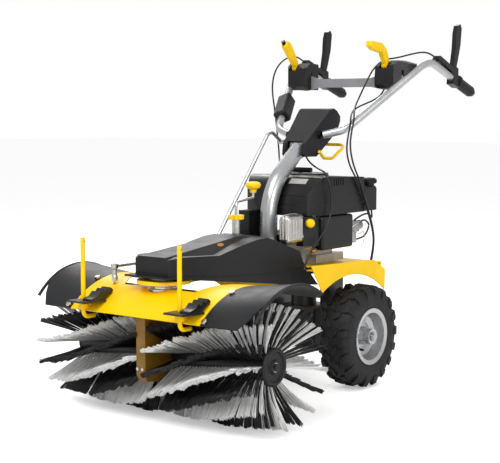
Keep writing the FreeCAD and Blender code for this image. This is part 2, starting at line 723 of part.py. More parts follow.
def make_boots(tubes):
    members = []
    left_plan = slab("XY", [(-132, 310), (-146, 302), (-204, 302), (-214, 314), (-214, 374),
                            (-196, 394), (-146, 394), (-132, 374)], 900, 1020)
    left_side = slab("YZ", [(302, 928), (314, 915), (372, 915), (394, 936), (394, 972),
                            (374, 1000), (326, 1003), (306, 986)], -220, -120)
    right_plan = slab("XY", [(132, 304), (150, 302), (196, 314), (226, 344), (240, 380),
                             (236, 402), (204, 404), (160, 388), (136, 350)], 900, 1020)
    right_side = slab("YZ", [(302, 930), (312, 916), (344, 916), (406, 972), (402, 994),
                             (372, 1004), (330, 1004), (308, 986)], 120, 250)
    right_front = slab("XZ", [(132, 920), (140, 916), (182, 918), (240, 962), (240, 990),
                              (204, 1004), (146, 1004), (132, 984)], 290, 410)
    shells = {-1: common(left_plan, left_side), 1: common(right_plan, right_side, right_front)}
    for side, shell in shells.items():
        boot = cut(shell, box(-250, 250, 332.8, 338.2, 900, 973))
        lever_x = -190 if side < 0 else 160
        groove = cylinder("boot_groove_r", 28, lever_x - 14, "boot_y - 8", "boot_z + 3", TO_X)
        mouth = box(lever_x - 14, lever_x + 14, 296, 364, 979, 1010)
        tube = tubes[0] if side < 0 else tubes[1]
        members.append(cut(boot, groove, mouth, tube))
    keep("lever_boots", group(*members))


def make_yellow_levers():
    hub_y = dim("boot_y") - 8
    hub_z = dim("boot_z") + 3
    hub = cylinder(12, 22, -201, hub_y, hub_z, TO_X)
    arm = slab("YZ", [(hub_y + 8, hub_z), (hub_y - 10, hub_z), (hub_y - 40, 1018),
                      (hub_y - 76, 1058), (hub_y - 66, 1076), (hub_y - 46, 1070),
                      (hub_y - 20, 1036)], -201, -179)
    arm = rounded(arm, 5, lambda at, edge: at.z > 1000)
    socket = cylinder(6.9, 17, -190, 263.7, 1058.2, Rotation(X_AXIS, 35))
    keep("swivel_lever", cut(fuse(hub, arm), socket))
    button = cylinder(6.5, 15, -190, 261, 1062, Rotation(X_AXIS, 35))
    keep("swivel_button", button)
    hub = cylinder(12, 22, 149, hub_y, hub_z, TO_X)
    arm = slab("YZ", [(hub_y + 9, hub_z), (hub_y - 9, hub_z), (hub_y - 34, 1026),
                      (hub_y - 88, 1034), (hub_y - 108, 1046), (hub_y - 104, 1062),
                      (hub_y - 40, 1058), (hub_y - 12, 1040)], 149, 171)
    arm = rounded(arm, 5, lambda at, edge: at.z > 1000)
    keep("gear_lever", fuse(hub, arm))


def make_grips(tubes):
    start, heading = along_bar(612)
    grip = lathe([("bar_r", 0), (22, 0), (22, 4), ("grip_r", 7), ("grip_r", 101), (13, 110),
                  (0, 110), (0, 105.8), ("bar_r", 105.8)])
    grip.Placement = Placement(start, Rotation(Z_AXIS, heading))
    keep("grips", both_sides(grip))


def make_lever_clamps(tubes):
    ring = slab("YZ", [(566, 934), (604, 921), (612, 946), (600, 958), (600, 984), (586, 990),
                       (572, 986), (480, 1022), (470, 1010), (560, 972), (570, 958)], 245, 271)
    slot = box(249.6, 266.4, 560, 640, 966.9, 1000)
    pin = cylinder("lever_pin_r", 26, 245, "lever_y", "lever_z", TO_X)
    adjuster = cylinder(5, 20, 258, 484, 1006, Rotation(X_AXIS, 62))
    keep("lever_clamps", both_sides(cut(fuse(cut(ring, slot), pin, adjuster), tubes[1])))


def make_dead_man_levers():
    blade = slab("YZ", [(575, 978), (577, 1000), (588, 1050), (592, 1100), (601, 1124),
                        (618, 1130), (627, 1116), (620, 1060), (604, 1012), (594, 985),
                        (592, 973), (588, 967.8), (579, 969)], 250, 266)
    bore = cylinder("lever_pin_r + fit", 40, 240, "lever_y", "lever_z", TO_X)
    right = cut(blade, bore)
    keep("lever_right", right)
    keep("lever_left", mirrored(right))


def make_shroud(tubes):
    lean = Rotation(Z_AXIS, Vector(-129, 278, 219).normalize())
    sleeve = scratch("Part::Box")
    sleeve.Length = 46
    sleeve.Width = 46
    sleeve.Height = 112
    corner = Vector(-150, 192, 822) - lean.multVec(Vector(23, 23, 0))
    sleeve.Placement = Placement(corner, lean)
    sleeve = rounded(sleeve, 9, lambda at, edge: True)
    keep("cable_shroud", cut(sleeve, tubes[0]))


def make_loop_and_rod():
    path = [(-60, 104, 720), (-60, 130, 699), (-60, 176, 697), (-60, 252, 738), (60, 252, 738),
            (60, 176, 697), (60, 130, 699), (60, 104, 720)]
    keep("release_loop", bar(path, [16, 40, 26, 26, 40, 16], "loop_r"))
    rod = bar([(-128, -229, 402), (-119, -180, 458), (-86, 44, 786), (-86, 104, 748)],
              [60, 24], "rod_r")
    stub = cylinder(7, 21, -94, 104, 748, TO_X)
    keep("control_rod", fuse(rod, stub))


# ---------------------------------------------------------------- cables

DRIVE_CABLE = [(258, 465.2, 1016), (252, 448, 1028), (230, 430, 1033), (202, 405, 1025),
               (170, 378, 1014), (136, 352, 1009), (112, 328, 980), (102, 302, 934),
               (100, 268, 890), (114, 222, 860), (139, 178, 842), (160, 146, 818),
               (162, 128, 778), (158, 127, 738), (158, 140, 694), (156, 162, 662),
               (153, 190, 632), (152, 214, 590), (151, 245, 537), (149, 273, 486),
               (145, 292, 440), (140, 294, 398), (137, 286, 356), (136, 264.5, 336)]
GEAR_CABLE = [(142, 350, 917), (135, 344, 897), (121, 322, 880), (109, 288, 868),
              (104, 248, 856), (112, 208, 842), (131, 172, 829), (152, 138, 802),
              (153, 122, 764), (150, 120, 724), (149, 136, 684), (148, 162, 654),
              (146.5, 192, 626), (145.5, 222, 582), (144.5, 252, 530), (143, 280, 480),
              (139, 298, 436), (133, 299, 394), (129, 290, 352), (128, 264.5, 330)]
BRUSH_CABLE = [(-258, 465.2, 1016), (-262, 446, 1029), (-278, 424, 1034), (-296, 396, 1020),
               (-306, 370, 990), (-302, 346, 952), (-286, 322, 910), (-258, 296, 862),
               (-228, 266, 814), (-198, 234, 766), (-170, 204, 722), (-144, 172, 690),
               (-112, 130, 676), (-78, 86, 668), (-50, 46, 664), (-33, 8, 652),
               (-30, -30, 614), (-30, -58, 566), (-29, -76, 524), (-29, -82, 480)]
THROTTLE_CABLE = [(-12, 128, 735), (-6, 121, 706), (22, 108, 684), (60, 90, 670),
                  (98, 62, 664), (132, 32, 660), (151, 24, 634), (153, 34, 596),
                  (153, 38, 552), (152, 22, 510), (151, -12, 474), (149, -48, 444),
                  (145, -78, 412), (144, -92, 376)]


def make_cables():
    drive = cable("drive_cable", DRIVE_CABLE, "cable_r")
    gear = cable("gear_cable", GEAR_CABLE, "cable_r")
    brush = cable("brush_cable", BRUSH_CABLE, "cable_r")
    throttle = cable("throttle_cable", THROTTLE_CABLE, "cable_r")
    keep("control_cables", group(drive, gear, throttle))
    keep("brush_cable", brush)


# ---------------------------------------------------------------- build, check and write

def check_document():
    doc.recompute()
    faults = []
    for item in doc.Objects:
        if "Invalid" in item.State or "Error" in item.State:
            faults.append(f"{item.Name} ({item.TypeId}) failed: {item.State}")
    for piece in pieces:
        if piece.Shape.isNull() or not piece.Shape.isValid() or not piece.Shape.Solids:
            faults.append(f"{piece.Label} has no valid solid")
    if faults:
        raise RuntimeError("; ".join(faults))


def main():
    make_brush()
    make_worm_shaft()
    make_gear_case()
    make_head_frame()
    make_swivel_boss()
    make_brush_cover()
    make_fenders()
    make_posts()
    make_latches()
    make_head_fasteners()
    make_tie_rod()
    make_boom_arm()
    make_belt_cover()
    make_crank()
    make_wheels()
    hangers = make_axle()
    make_chassis(hangers)
    make_column()
    make_engine()
    make_blower_housing()
    make_engine_fittings()
    tubes = make_handlebar()
    make_console()
    make_cross_plate(tubes)
    make_boots(tubes)
    make_yellow_levers()
    make_grips(tubes)
    make_lever_clamps(tubes)
    make_dead_man_levers()
    make_shroud(tubes)
    make_loop_and_rod()
    make_cables()
    check_document()
    os.makedirs("parts", exist_ok=True)
    for piece in pieces:
        piece.Shape.exportStep(f"parts/{piece.Label}.step")
    print(f"{len(pieces)} sub-parts written")


main()
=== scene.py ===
"""Power brush sweeper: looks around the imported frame, laid out as an add-on."""
import math

import bmesh
import bpy
import numpy as np
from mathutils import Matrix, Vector


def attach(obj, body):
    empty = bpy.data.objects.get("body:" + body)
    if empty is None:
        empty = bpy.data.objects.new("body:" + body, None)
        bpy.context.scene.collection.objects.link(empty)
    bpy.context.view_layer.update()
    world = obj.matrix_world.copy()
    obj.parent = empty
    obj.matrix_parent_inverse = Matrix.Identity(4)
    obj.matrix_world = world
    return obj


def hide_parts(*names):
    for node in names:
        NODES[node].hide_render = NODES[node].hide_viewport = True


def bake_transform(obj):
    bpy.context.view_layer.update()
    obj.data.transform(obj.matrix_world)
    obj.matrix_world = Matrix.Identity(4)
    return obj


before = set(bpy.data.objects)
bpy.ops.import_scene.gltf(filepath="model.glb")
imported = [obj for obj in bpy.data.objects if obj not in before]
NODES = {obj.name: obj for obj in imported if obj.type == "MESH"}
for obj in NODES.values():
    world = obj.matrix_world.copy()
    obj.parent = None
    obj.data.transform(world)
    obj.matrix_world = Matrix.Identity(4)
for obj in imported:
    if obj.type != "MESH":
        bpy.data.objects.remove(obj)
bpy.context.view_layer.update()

bl_info = {
    "name": "Power Brush Sweeper",
    "version": (1, 0, 0),
    "blender": (4, 5, 0),
    "location": "View3D > Sidebar > Sweeper",
    "description": "Builds the finishes and fine pieces of a walk-behind brush sweeper",
    "category": "Object",
}

MM = 0.001
BRUSH_AXIS = Vector((0, -495, 175)) * MM
BRUSH_HALF_WIDTH = 0.3995
CORE_RADIUS = 0.048
FIRST_ROW_TURN = math.radians(-38.9)
WHEEL_CENTRE = Vector((199.5, 119, 159)) * MM
TREAD_PITCHES = 18
SHEATH_DIAMETER = 0.0055
COLUMN_R = 25
GRIP_START = (258, 612, 942.15)
BAR_HEADING = (0, 287, -98)
CAMERA_PLACE = (2.2392, -3.0397, 0.8336)
CAMERA_AZIMUTH = math.radians(37.94)
CAMERA_RISE = math.radians(5.42)


# ------------------------------------------------------------------ settings

class SweeperColours(bpy.types.PropertyGroup):
    yellow: bpy.props.FloatVectorProperty(
        name="Yellow enamel", description="Paint of the cover, deck and posts",
        subtype="COLOR", size=3, default=(0.95, 0.585, 0.002))
    charcoal: bpy.props.FloatVectorProperty(
        name="Charcoal plastic", description="Belt cover, fenders and console",
        subtype="COLOR", size=3, default=(0.0125, 0.013, 0.0145))
    black: bpy.props.FloatVectorProperty(
        name="Black plastic", description="Engine covers and small mouldings",
        subtype="COLOR", size=3, default=(0.006, 0.006, 0.0065))
    rubber: bpy.props.FloatVectorProperty(
        name="Tyre rubber", description="Tyres and hand grips",
        subtype="COLOR", size=3, default=(0.0065, 0.0065, 0.0068))
    silver: bpy.props.FloatVectorProperty(
        name="Silver paint", description="Handlebar, column and wheels",
        subtype="COLOR", size=3, default=(0.50, 0.51, 0.52))
    white_bristle: bpy.props.FloatVectorProperty(
        name="White bristle", description="Light rows of the brush",
        subtype="COLOR", size=3, default=(0.80, 0.80, 0.785))
    black_bristle: bpy.props.FloatVectorProperty(
        name="Black bristle", description="Dark rows of the brush",
        subtype="COLOR", size=3, default=(0.004, 0.004, 0.0045))


class SweeperBrush(bpy.types.PropertyGroup):
    rows: bpy.props.IntProperty(
        name="Rows", description="Bristle rows on each half, light and dark in turn",
        default=16, min=4, max=32)
    twist: bpy.props.FloatProperty(
        name="Twist", description="Turn of a row for each metre along the shaft",
        subtype="ANGLE", default=math.radians(145))
    thickness: bpy.props.FloatProperty(
        name="Bristle thickness", description="Width of one bristle",
        unit="LENGTH", default=0.0026)
    tufts: bpy.props.IntProperty(
        name="Tufts", description="Tufts along each row", default=27, min=5, max=60)
    rods: bpy.props.IntProperty(
        name="Bristles in a tuft", description="Bristles that fan out of one hole",
        default=20, min=3, max=60)
    seed: bpy.props.IntProperty(
        name="Seed", description="Start of the random lean of the bristles", default=11)


class SweeperStage(bpy.types.PropertyGroup):
    floor: bpy.props.FloatVectorProperty(
        name="Floor", description="Colour of the plain floor",
        subtype="COLOR", size=3, default=(0.90, 0.90, 0.90))
    lens: bpy.props.FloatProperty(
        name="Lens", description="Focal length of the camera in millimetres", default=88.7)
    sky: bpy.props.FloatProperty(
        name="Sky", description="Strength of the even light all round", default=0.62)


def colours():
    """The colours that the panel shows."""
    return bpy.context.scene.sweeper_colours


def brush_sizes():
    """The brush sizes that the panel shows."""
    return bpy.context.scene.sweeper_brush


# ------------------------------------------------------------------ materials

def node_group(name, inputs, outputs):
    """Starts a shader node group with named sockets."""
    group = bpy.data.node_groups.new(name, "ShaderNodeTree")
    for label, kind, value in inputs:
        socket = group.interface.new_socket(label, in_out="INPUT", socket_type=kind)
        if value is not None:
            socket.default_value = value
    for label, kind in outputs:
        group.interface.new_socket(label, in_out="OUTPUT", socket_type=kind)
    return group, group.nodes.new("NodeGroupInput"), group.nodes.new("NodeGroupOutput")


def grain_group():
    """Fine moulded or painted grain: a height for bump and a soft mottle for colour."""
    if "Surface grain" in bpy.data.node_groups:
        return bpy.data.node_groups["Surface grain"]
    group, inside, outside = node_group(
        "Surface grain",
        [("Fine scale", "NodeSocketFloat", 900.0), ("Mottle scale", "NodeSocketFloat", 14.0)],
        [("Height", "NodeSocketFloat"), ("Mottle", "NodeSocketFloat")])
    link = group.links.new
    place = group.nodes.new("ShaderNodeTexCoord")
    fine = group.nodes.new("ShaderNodeTexNoise")
    fine.inputs["Detail"].default_value = 3.0
    mottle = group.nodes.new("ShaderNodeTexNoise")
    mottle.inputs["Detail"].default_value = 5.0
    mottle.inputs["Roughness"].default_value = 0.6
    ramp = group.nodes.new("ShaderNodeValToRGB")
    ramp.color_ramp.elements[0].position = 0.35
    ramp.color_ramp.elements[1].position = 0.68
    link(place.outputs["Object"], fine.inputs["Vector"])
    link(place.outputs["Object"], mottle.inputs["Vector"])
    link(inside.outputs["Fine scale"], fine.inputs["Scale"])
    link(inside.outputs["Mottle scale"], mottle.inputs["Scale"])
    link(mottle.outputs["Fac"], ramp.inputs["Fac"])
    link(fine.outputs["Fac"], outside.inputs["Height"])
    link(ramp.outputs["Color"], outside.inputs["Mottle"])
    return group


def dust_group():
    """Pale dust that gathers on faces that look up and in patches."""
    if "Settled dust" in bpy.data.node_groups:
        return bpy.data.node_groups["Settled dust"]
    group, inside, outside = node_group(
        "Settled dust",
        [("Patch scale", "NodeSocketFloat", 30.0), ("Amount", "NodeSocketFloat", 0.3)],
        [("Mask", "NodeSocketFloat")])
    link = group.links.new
    place = group.nodes.new("ShaderNodeTexCoord")
    normal = group.nodes.new("ShaderNodeSeparateXYZ")
    geometry = group.nodes.new("ShaderNodeNewGeometry")
    up = group.nodes.new("ShaderNodeMapRange")
    up.inputs["From Min"].default_value = -0.4
    patches = group.nodes.new("ShaderNodeTexNoise")
    patches.inputs["Detail"].default_value = 4.0
    times = group.nodes.new("ShaderNodeMath")
    times.operation = "MULTIPLY"
    scaled = group.nodes.new("ShaderNodeMath")
    scaled.operation = "MULTIPLY"
    scaled.use_clamp = True
    link(geometry.outputs["Normal"], normal.inputs["Vector"])
    link(normal.outputs["Z"], up.inputs["Value"])
    link(place.outputs["Object"], patches.inputs["Vector"])
    link(inside.outputs["Patch scale"], patches.inputs["Scale"])
    link(patches.outputs["Fac"], times.inputs[0])
    link(up.outputs["Result"], times.inputs[1])
    link(times.outputs["Value"], scaled.inputs[0])
    link(inside.outputs["Amount"], scaled.inputs[1])
    link(scaled.outputs["Value"], outside.inputs["Mask"])
    return group


def finish(name, colour, roughness, metallic=0.0, coat=0.0, fine=900.0, bump=0.1,
           mottle=14.0, shift=0.12, rough_shift=0.08, dust=0.0, specular=0.5, sheen=0.0):
    """A Principled finish whose colour, gloss and bump all vary over the surface."""
    if name in bpy.data.materials:
        return bpy.data.materials[name]
    material = bpy.data.materials.new(name)
    material.use_nodes = True
    tree = material.node_tree
    link = tree.links.new
    shader = tree.nodes["Principled BSDF"]
    shader.inputs["Metallic"].default_value = metallic
    shader.inputs["Coat Weight"].default_value = coat
    shader.inputs["Coat Roughness"].default_value = 0.12
    shader.inputs["Specular IOR Level"].default_value = specular
    shader.inputs["Sheen Weight"].default_value = sheen
    grain = tree.nodes.new("ShaderNodeGroup")
    grain.node_tree = grain_group()
    grain.inputs["Fine scale"].default_value = fine
    grain.inputs["Mottle scale"].default_value = mottle
    tint = tree.nodes.new("ShaderNodeMix")
    tint.data_type = "RGBA"
    tint.inputs["A"].default_value = (*[c * (1 - shift) for c in colour], 1)
    tint.inputs["B"].default_value = (*[min(1, c * (1 + shift)) for c in colour], 1)
    link(grain.outputs["Mottle"], tint.inputs["Factor"])
    result = tint.outputs["Result"]
    if dust:
        settled = tree.nodes.new("ShaderNodeGroup")
        settled.node_tree = dust_group()
        settled.inputs["Amount"].default_value = dust
        dusty = tree.nodes.new("ShaderNodeMix")
        dusty.data_type = "RGBA"
        dusty.inputs["B"].default_value = (0.30, 0.28, 0.25, 1)
        link(settled.outputs["Mask"], dusty.inputs["Factor"])
        link(result, dusty.inputs["A"])
        result = dusty.outputs["Result"]
    link(result, shader.inputs["Base Color"])
    gloss = tree.nodes.new("ShaderNodeMapRange")
    gloss.inputs["To Min"].default_value = max(0.02, roughness - rough_shift)
    gloss.inputs["To Max"].default_value = min(1.0, roughness + rough_shift)
    link(grain.outputs["Mottle"], gloss.inputs["Value"])
    link(gloss.outputs["Result"], shader.inputs["Roughness"])
    relief = tree.nodes.new("ShaderNodeBump")
    relief.inputs["Strength"].default_value = bump
    relief.inputs["Distance"].default_value = 0.0006
    link(grain.outputs["Height"], relief.inputs["Height"])
    link(relief.outputs["Normal"], shader.inputs["Normal"])
    return material


def yellow_enamel():
    return finish("yellow enamel", colours().yellow, 0.36, coat=0.04, fine=260, bump=0.06,
                  mottle=9, shift=0.05, rough_shift=0.06, specular=0.16)


def yellow_moulding():
    return finish("yellow moulding", colours().yellow, 0.42, fine=700, bump=0.10, shift=0.05,
                  specular=0.25)


def charcoal_moulding():
    return finish("charcoal moulding", colours().charcoal, 0.46, fine=1500, bump=0.22,
                  mottle=18, shift=0.14, rough_shift=0.06, specular=0.26)


def black_moulding():
    return finish("black moulding", colours().black, 0.36, fine=1200, bump=0.12, shift=0.2,
                  specular=0.36)


def black_enamel():
    return finish("black enamel", colours().black, 0.32, coat=0.2, fine=300, bump=0.08,
                  shift=0.25)


def tyre_rubber():
    return finish("tyre rubber", colours().rubber, 0.62, fine=500, bump=0.30, mottle=40,
                  shift=0.35, dust=0.03, specular=0.35)


def grip_rubber():
    return finish("grip rubber", colours().rubber, 0.55, fine=1200, bump=0.25, mottle=30,
                  shift=0.25, sheen=0.1)


def cable_sheath():
    return finish("cable sheath", colours().black, 0.40, fine=2500, bump=0.10, mottle=50,
                  shift=0.3)


def silver_enamel():
    return finish("silver enamel", colours().silver, 0.30, metallic=0.75, coat=0.2,
                  fine=1800, bump=0.05, mottle=10, shift=0.07, rough_shift=0.05)


def grey_enamel():
    return finish("grey enamel", (0.27, 0.275, 0.29), 0.48, metallic=0.35, fine=1200,
                  bump=0.10, mottle=12, shift=0.08)


def zinc_plate():
    return finish("zinc plate", (0.62, 0.61, 0.57), 0.26, metallic=1.0, fine=900, bump=0.05,
                  mottle=35, shift=0.08, rough_shift=0.05)


def ground_steel():
    return finish("ground steel", (0.50, 0.50, 0.50), 0.34, metallic=1.0, fine=1400,
                  bump=0.10, mottle=50, shift=0.2, rough_shift=0.12)


def cast_alloy():
    return finish("cast alloy", (0.44, 0.44, 0.43), 0.50, metallic=0.85, fine=420, bump=0.35,
                  mottle=35, shift=0.2, rough_shift=0.12)


def brass_fitting():
    return finish("brass fitting", (0.62, 0.33, 0.08), 0.34, metallic=1.0, fine=900,
                  bump=0.08, mottle=50, shift=0.15)


def white_nylon():
    return finish("white nylon", colours().white_bristle, 0.42, fine=300, bump=0.05,
                  mottle=60, shift=0.10)


def black_nylon():
    return finish("black nylon", colours().black_bristle, 0.38, fine=300, bump=0.05,
                  mottle=60, shift=0.4)


def gearbox_enamel():
    return finish("gearbox enamel", (0.028, 0.028, 0.030), 0.45, fine=500, bump=0.2,
                  mottle=25, shift=0.3, dust=0.05)


# Painted shade: the gear case's yellow paint is darkened to amber brown to stand in for the
# shade it sits in under the cover.
def shaded_yellow():
    return finish("gear case yellow in painted shade", (0.20, 0.10, 0.002), 0.45, fine=400,
                  bump=0.15, mottle=30, shift=0.25, dust=0.04)


def label_film():
    return finish("blank label film", (0.42, 0.40, 0.37), 0.38, fine=600, bump=0.04,
                  mottle=50, shift=0.1)


def amber_plug():
    return finish("amber plug", (0.42, 0.16, 0.01), 0.30, fine=700, bump=0.1, shift=0.2)


def node_finishes():
    """Which finish each carried-over node wears."""
    return {
        yellow_enamel: ("deck", "side_panels", "brush_cover", "posts", "boom_arm",
                        "release_loop"),
        # The gear case wears yellow darkened as painted shade.
        shaded_yellow: ("gear_case",),
        yellow_moulding: ("star_nut", "crank_knob", "swivel_lever", "gear_lever",
                          "primer_bulb"),
        charcoal_moulding: ("belt_cover", "fenders", "console", "cable_shroud",
                            "brush_end_caps"),
        black_moulding: ("blower_housing", "fuel_tank", "filter_cover", "fuel_cap",
                         "oil_cap", "starter_grip", "swivel_button", "lever_boots",
                         "lever_clamps", "lever_left", "lever_right", "brush_cores"),
        black_enamel: ("frame_brackets", "handle_yoke", "latches", "head_frame",
                       "engine_pulley"),
        tyre_rubber: ("tyre_left", "tyre_right"),
        grip_rubber: ("grips",),
        cable_sheath: ("control_cables", "brush_cable"),
        silver_enamel: ("handlebar_tubes", "column", "control_rod", "rim_left", "rim_right"),
        grey_enamel: ("cross_plate",),
        zinc_plate: ("swivel_boss", "head_fasteners", "tie_rod", "crank_rod",
                     "crank_sleeve", "muffler"),
        ground_steel: ("axle", "tilt_shaft", "brush_shaft", "worm_shaft", "worm_wheel"),
        cast_alloy: ("engine_block", "carburettor"),
        gearbox_enamel: ("transmission",),
        black_nylon: ("bristles",),
    }


# ------------------------------------------------------------------ mesh helpers

def link_object(data, name):
    """Puts new data into the scene as an object."""
    item = bpy.data.objects.new(name, data)
    bpy.context.scene.collection.objects.link(item)
    return item


def mesh_piece(name, vertices, faces, finish_of, body, smooth=True, clean=True):
    """A mesh that rides on a body and wears the given finish."""
    data = bpy.data.meshes.new(name)
    data.from_pydata([tuple(v) for v in vertices], [], faces)
    data.update()
    if clean:
        shape = bmesh.new()
        shape.from_mesh(data)
        bmesh.ops.remove_doubles(shape, verts=shape.verts, dist=1e-6)
        bmesh.ops.recalc_face_normals(shape, faces=shape.faces)
        shape.to_mesh(data)
        shape.free()
    for face in data.polygons:
        face.use_smooth = smooth
    item = link_object(data, name)
    data.materials.append(finish_of())
    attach(item, body)
    return item


def bevelled(item, width, segments=2):
    """Rounds the sharp edges of a piece and keeps its flats flat."""
    weld = item.modifiers.new("weld", "WELD")
    weld.merge_threshold = 0.00002
    flat = item.modifiers.new("flat", "DECIMATE")
    flat.decimate_type = "DISSOLVE"
    flat.angle_limit = math.radians(0.6)
    bevel = item.modifiers.new("bevel", "BEVEL")
    bevel.width = width
    bevel.segments = segments
    bevel.limit_method = "ANGLE"
    bevel.angle_limit = math.radians(30)
    bevel.use_clamp_overlap = True
    bevel.miter_outer = "MITER_ARC"
    shade = item.modifiers.new("shade", "WEIGHTED_NORMAL")
    shade.keep_sharp = False
    shade.weight = 80
    return item


def tube_mesh(name, points, radius):
    """A round tube along a smooth spline, as a mesh, with the points it follows."""
    curve = bpy.data.curves.new(name, "CURVE")
    curve.dimensions = "3D"
    spline = curve.splines.new("NURBS")
    spline.points.add(len(points) - 1)
    for point, place in zip(spline.points, points):
        point.co = (*[c * MM for c in place], 1)
    spline.order_u = 3
    spline.use_endpoint_u = True
    spline.resolution_u = 6
    item = link_object(curve, name + "_line")
    bpy.context.view_layer.update()
    line = bpy.data.meshes.new_from_object(item)
    path = [tuple(v.co) for v in line.vertices]
    curve.bevel_depth = radius
    curve.bevel_resolution = 3
    curve.use_fill_caps = True
    bpy.context.view_layer.update()
    tube = bpy.data.meshes.new_from_object(item.evaluated_get(
        bpy.context.evaluated_depsgraph_get()))
    bpy.data.objects.remove(item)
    bpy.data.meshes.remove(line)
    for face in tube.polygons:
        face.use_smooth = True
    return tube, path


def smooth_path(points, steps=6):
    """Points along a Catmull-Rom curve through the given ones."""
    ends = [points[0], *points, points[-1]]
    result = []
    for k in range(1, len(ends) - 2):
        a, b, c, d = (Vector(ends[k + j]) for j in (-1, 0, 1, 2))
        for step in range(steps):
            t = step / steps
            result.append(0.5 * (2 * b + (c - a) * t + (2 * a - 5 * b + 4 * c - d) * t * t
                                 + (3 * b - a - 3 * c + d) * t ** 3))
    result.append(Vector(points[-1]))
    return result


def rods(name, paths, radius, finish_of, body, slot, sides=10):
    """Round bars that follow lists of points in millimetres, as one piece."""
    vertices, faces = [], []
    for path in paths:
        points = [Vector(point) for point in path]
        first = len(vertices)
        for k, point in enumerate(points):
            ahead = (points[min(k + 1, len(points) - 1)] - points[max(k - 1, 0)]).normalized()
            across = ahead.cross(Vector((0, 0, 1)))
            if across.length < 0.1:
                across = ahead.cross(Vector((1, 0, 0)))
            across.normalize()
            up = across.cross(ahead)
            for side in range(sides):
                a = 2 * math.pi * side / sides
                vertices.append((point + radius * (math.cos(a) * across
                                                   + math.sin(a) * up)) * MM)
        for k in range(len(points) - 1):
            for side in range(sides):
                a = first + k * sides + side
                b = first + k * sides + (side + 1) % sides
                faces.append([a, b, b + sides, a + sides])
        faces.append([first + side for side in range(sides)][::-1])
        last = first + (len(points) - 1) * sides
        faces.append([last + side for side in range(sides)])
    item = mesh_piece(name, vertices, faces, finish_of, body, clean=False)
    soften = item.modifiers.new("edge split", "EDGE_SPLIT")
    soften.split_angle = math.radians(50)
    return item


def turned(name, profile, centre, axis, finish_of, body, segments=40, copies=(1,)):
    """Revolves (radius, along) pairs round an axis; copies of -1 add the left twin."""
    vertices, faces = [], []
    frame_of = Vector(axis).normalized().to_track_quat("Z", "Y").to_matrix()
    for side in copies:
        first = len(vertices)
        for radius, along in profile:
            for k in range(segments):
                a = 2 * math.pi * k / segments
                point = Vector(centre) + frame_of @ Vector((radius * math.cos(a),
                                                            radius * math.sin(a), along))
                vertices.append(Vector((side * point.x, point.y, point.z)) * MM)
        for ring in range(len(profile) - 1):
            for k in range(segments):
                a = first + ring * segments + k
                b = first + ring * segments + (k + 1) % segments
                faces.append([a, b, b + segments, a + segments])
    item = mesh_piece(name, vertices, faces, finish_of, body)
    soften = item.modifiers.new("edge split", "EDGE_SPLIT")
    soften.split_angle = math.radians(40)
    return item


def plate(name, corners, thick, finish_of, body, edge=0.4):
    """A thin plate on the given corners, laid proud of them by its thickness."""
    points = [Vector(corner) for corner in corners]
    normal = (points[1] - points[0]).cross(points[2] - points[0]).normalized()
    vertices = [(p + normal * h) * MM for h in (-0.3, thick) for p in points]
    n = len(points)
    faces = [list(range(n))[::-1], [n + k for k in range(n)]]
    faces += [[k, (k + 1) % n, n + (k + 1) % n, n + k] for k in range(n)]
    item = mesh_piece(name, vertices, faces, finish_of, body, smooth=False)
    bevel = item.modifiers.new("bevel", "BEVEL")
    bevel.width = edge * MM
    bevel.segments = 2
    return item


# ------------------------------------------------------------------ engine details

def add_engine_details():
    """Muffler ribs, hoses, linkage, blower creases, label, cap ribs and two-tone block."""
    side_ribs = [[(121, y, 468), (121, y, 526)] for y in (-130, -116, -102, -88, -74)]
    front_ribs = [[(x, -141, 468), (x, -141, 526)] for x in (93, 103, 113)]
    rods("muffler_ribs", side_ribs + front_ribs, 3.6, zinc_plate, "chassis", "zinc_steel")
    seam = [(103, -143.5, 470), (103, -143.5, 524), (103, -130, 539.5), (103, -74, 539.5),
            (103, -62.5, 528)]
    rods("muffler_seam", [smooth_path(seam)], 1.8, zinc_plate, "chassis", "zinc_steel")
    hoses = [[(112, 240, 486), (124, 262, 500), (134, 276, 484), (128, 262, 452),
              (114, 236, 440)],
             [(104, 236, 500), (122, 254, 516), (134, 272, 520), (136, 290, 508),
              (128, 300, 530)]]
    rods("fuel_hoses", [smooth_path(hose) for hose in hoses], 2.8, cable_sheath, "chassis",
         "cable_sheath")
    wires = [[(124, 200, 474), (132, 222, 460), (134, 243, 466), (130, 256, 446),
              (122, 262, 428), (120, 250, 412)],
             [(118, 190, 478), (132, 214, 494), (130, 240, 502)]]
    rods("governor_wires", [smooth_path(wire) for wire in wires], 1.2, zinc_plate,
         "chassis", "zinc_steel")
    links = [[(98, -22, 434), (112, -2, 424), (120, 16, 434)],
             [(106, -14, 440), (120, 4, 414)], [(100, 10, 412), (118, -8, 432)]]
    rods("choke_linkage", links, 2.2, brass_fitting, "chassis", "zinc_steel")
    turned("linkage_barrel", [(0, -9), (5.5, -9), (5.5, -3), (7.5, -3), (7.5, 3), (5.5, 3),
                              (5.5, 9), (0, 9)], (112, 2, 424), (0.3, 1, 0.2),
           brass_fitting, "chassis")
    creases = []
    for z, front in ((562, -38.6), (590, -27.6)):
        creases.append([(-62, front, z), (62, front, z), (106, -28.6, z), (133.2, 8, z),
                        (140.4, 60, z), (140.4, 236, z), (118, 266, z)])
    rods("blower_creases", creases, 1.3, black_moulding, "chassis", "black_plastic")
    plate("label_patch", [(22, -5, 624.6), (86, -5, 624.6), (86, 11, 639.2), (22, 11, 639.2)],
          0.7, label_film, "chassis")
    ribs = []
    for k in range(20):
        a = 2 * math.pi * k / 20
        x, y = 100 + 24 * math.cos(a), 328 + 24 * math.sin(a)
        ribs.append([(x, y, 616), (x, y, 626)])
    rods("fuel_cap_ribs", ribs, 1.7, black_moulding, "fuel_cap", "black_plastic", sides=8)
    block = NODES["engine_block"]
    block.data.materials.append(black_moulding())
    for face in block.data.polygons:
        centre = block.matrix_world @ face.center
        if centre.z > 0.471 or (centre.z > 0.44 and centre.x < -0.03):
            face.material_index = 1


# ------------------------------------------------------------------ small fittings

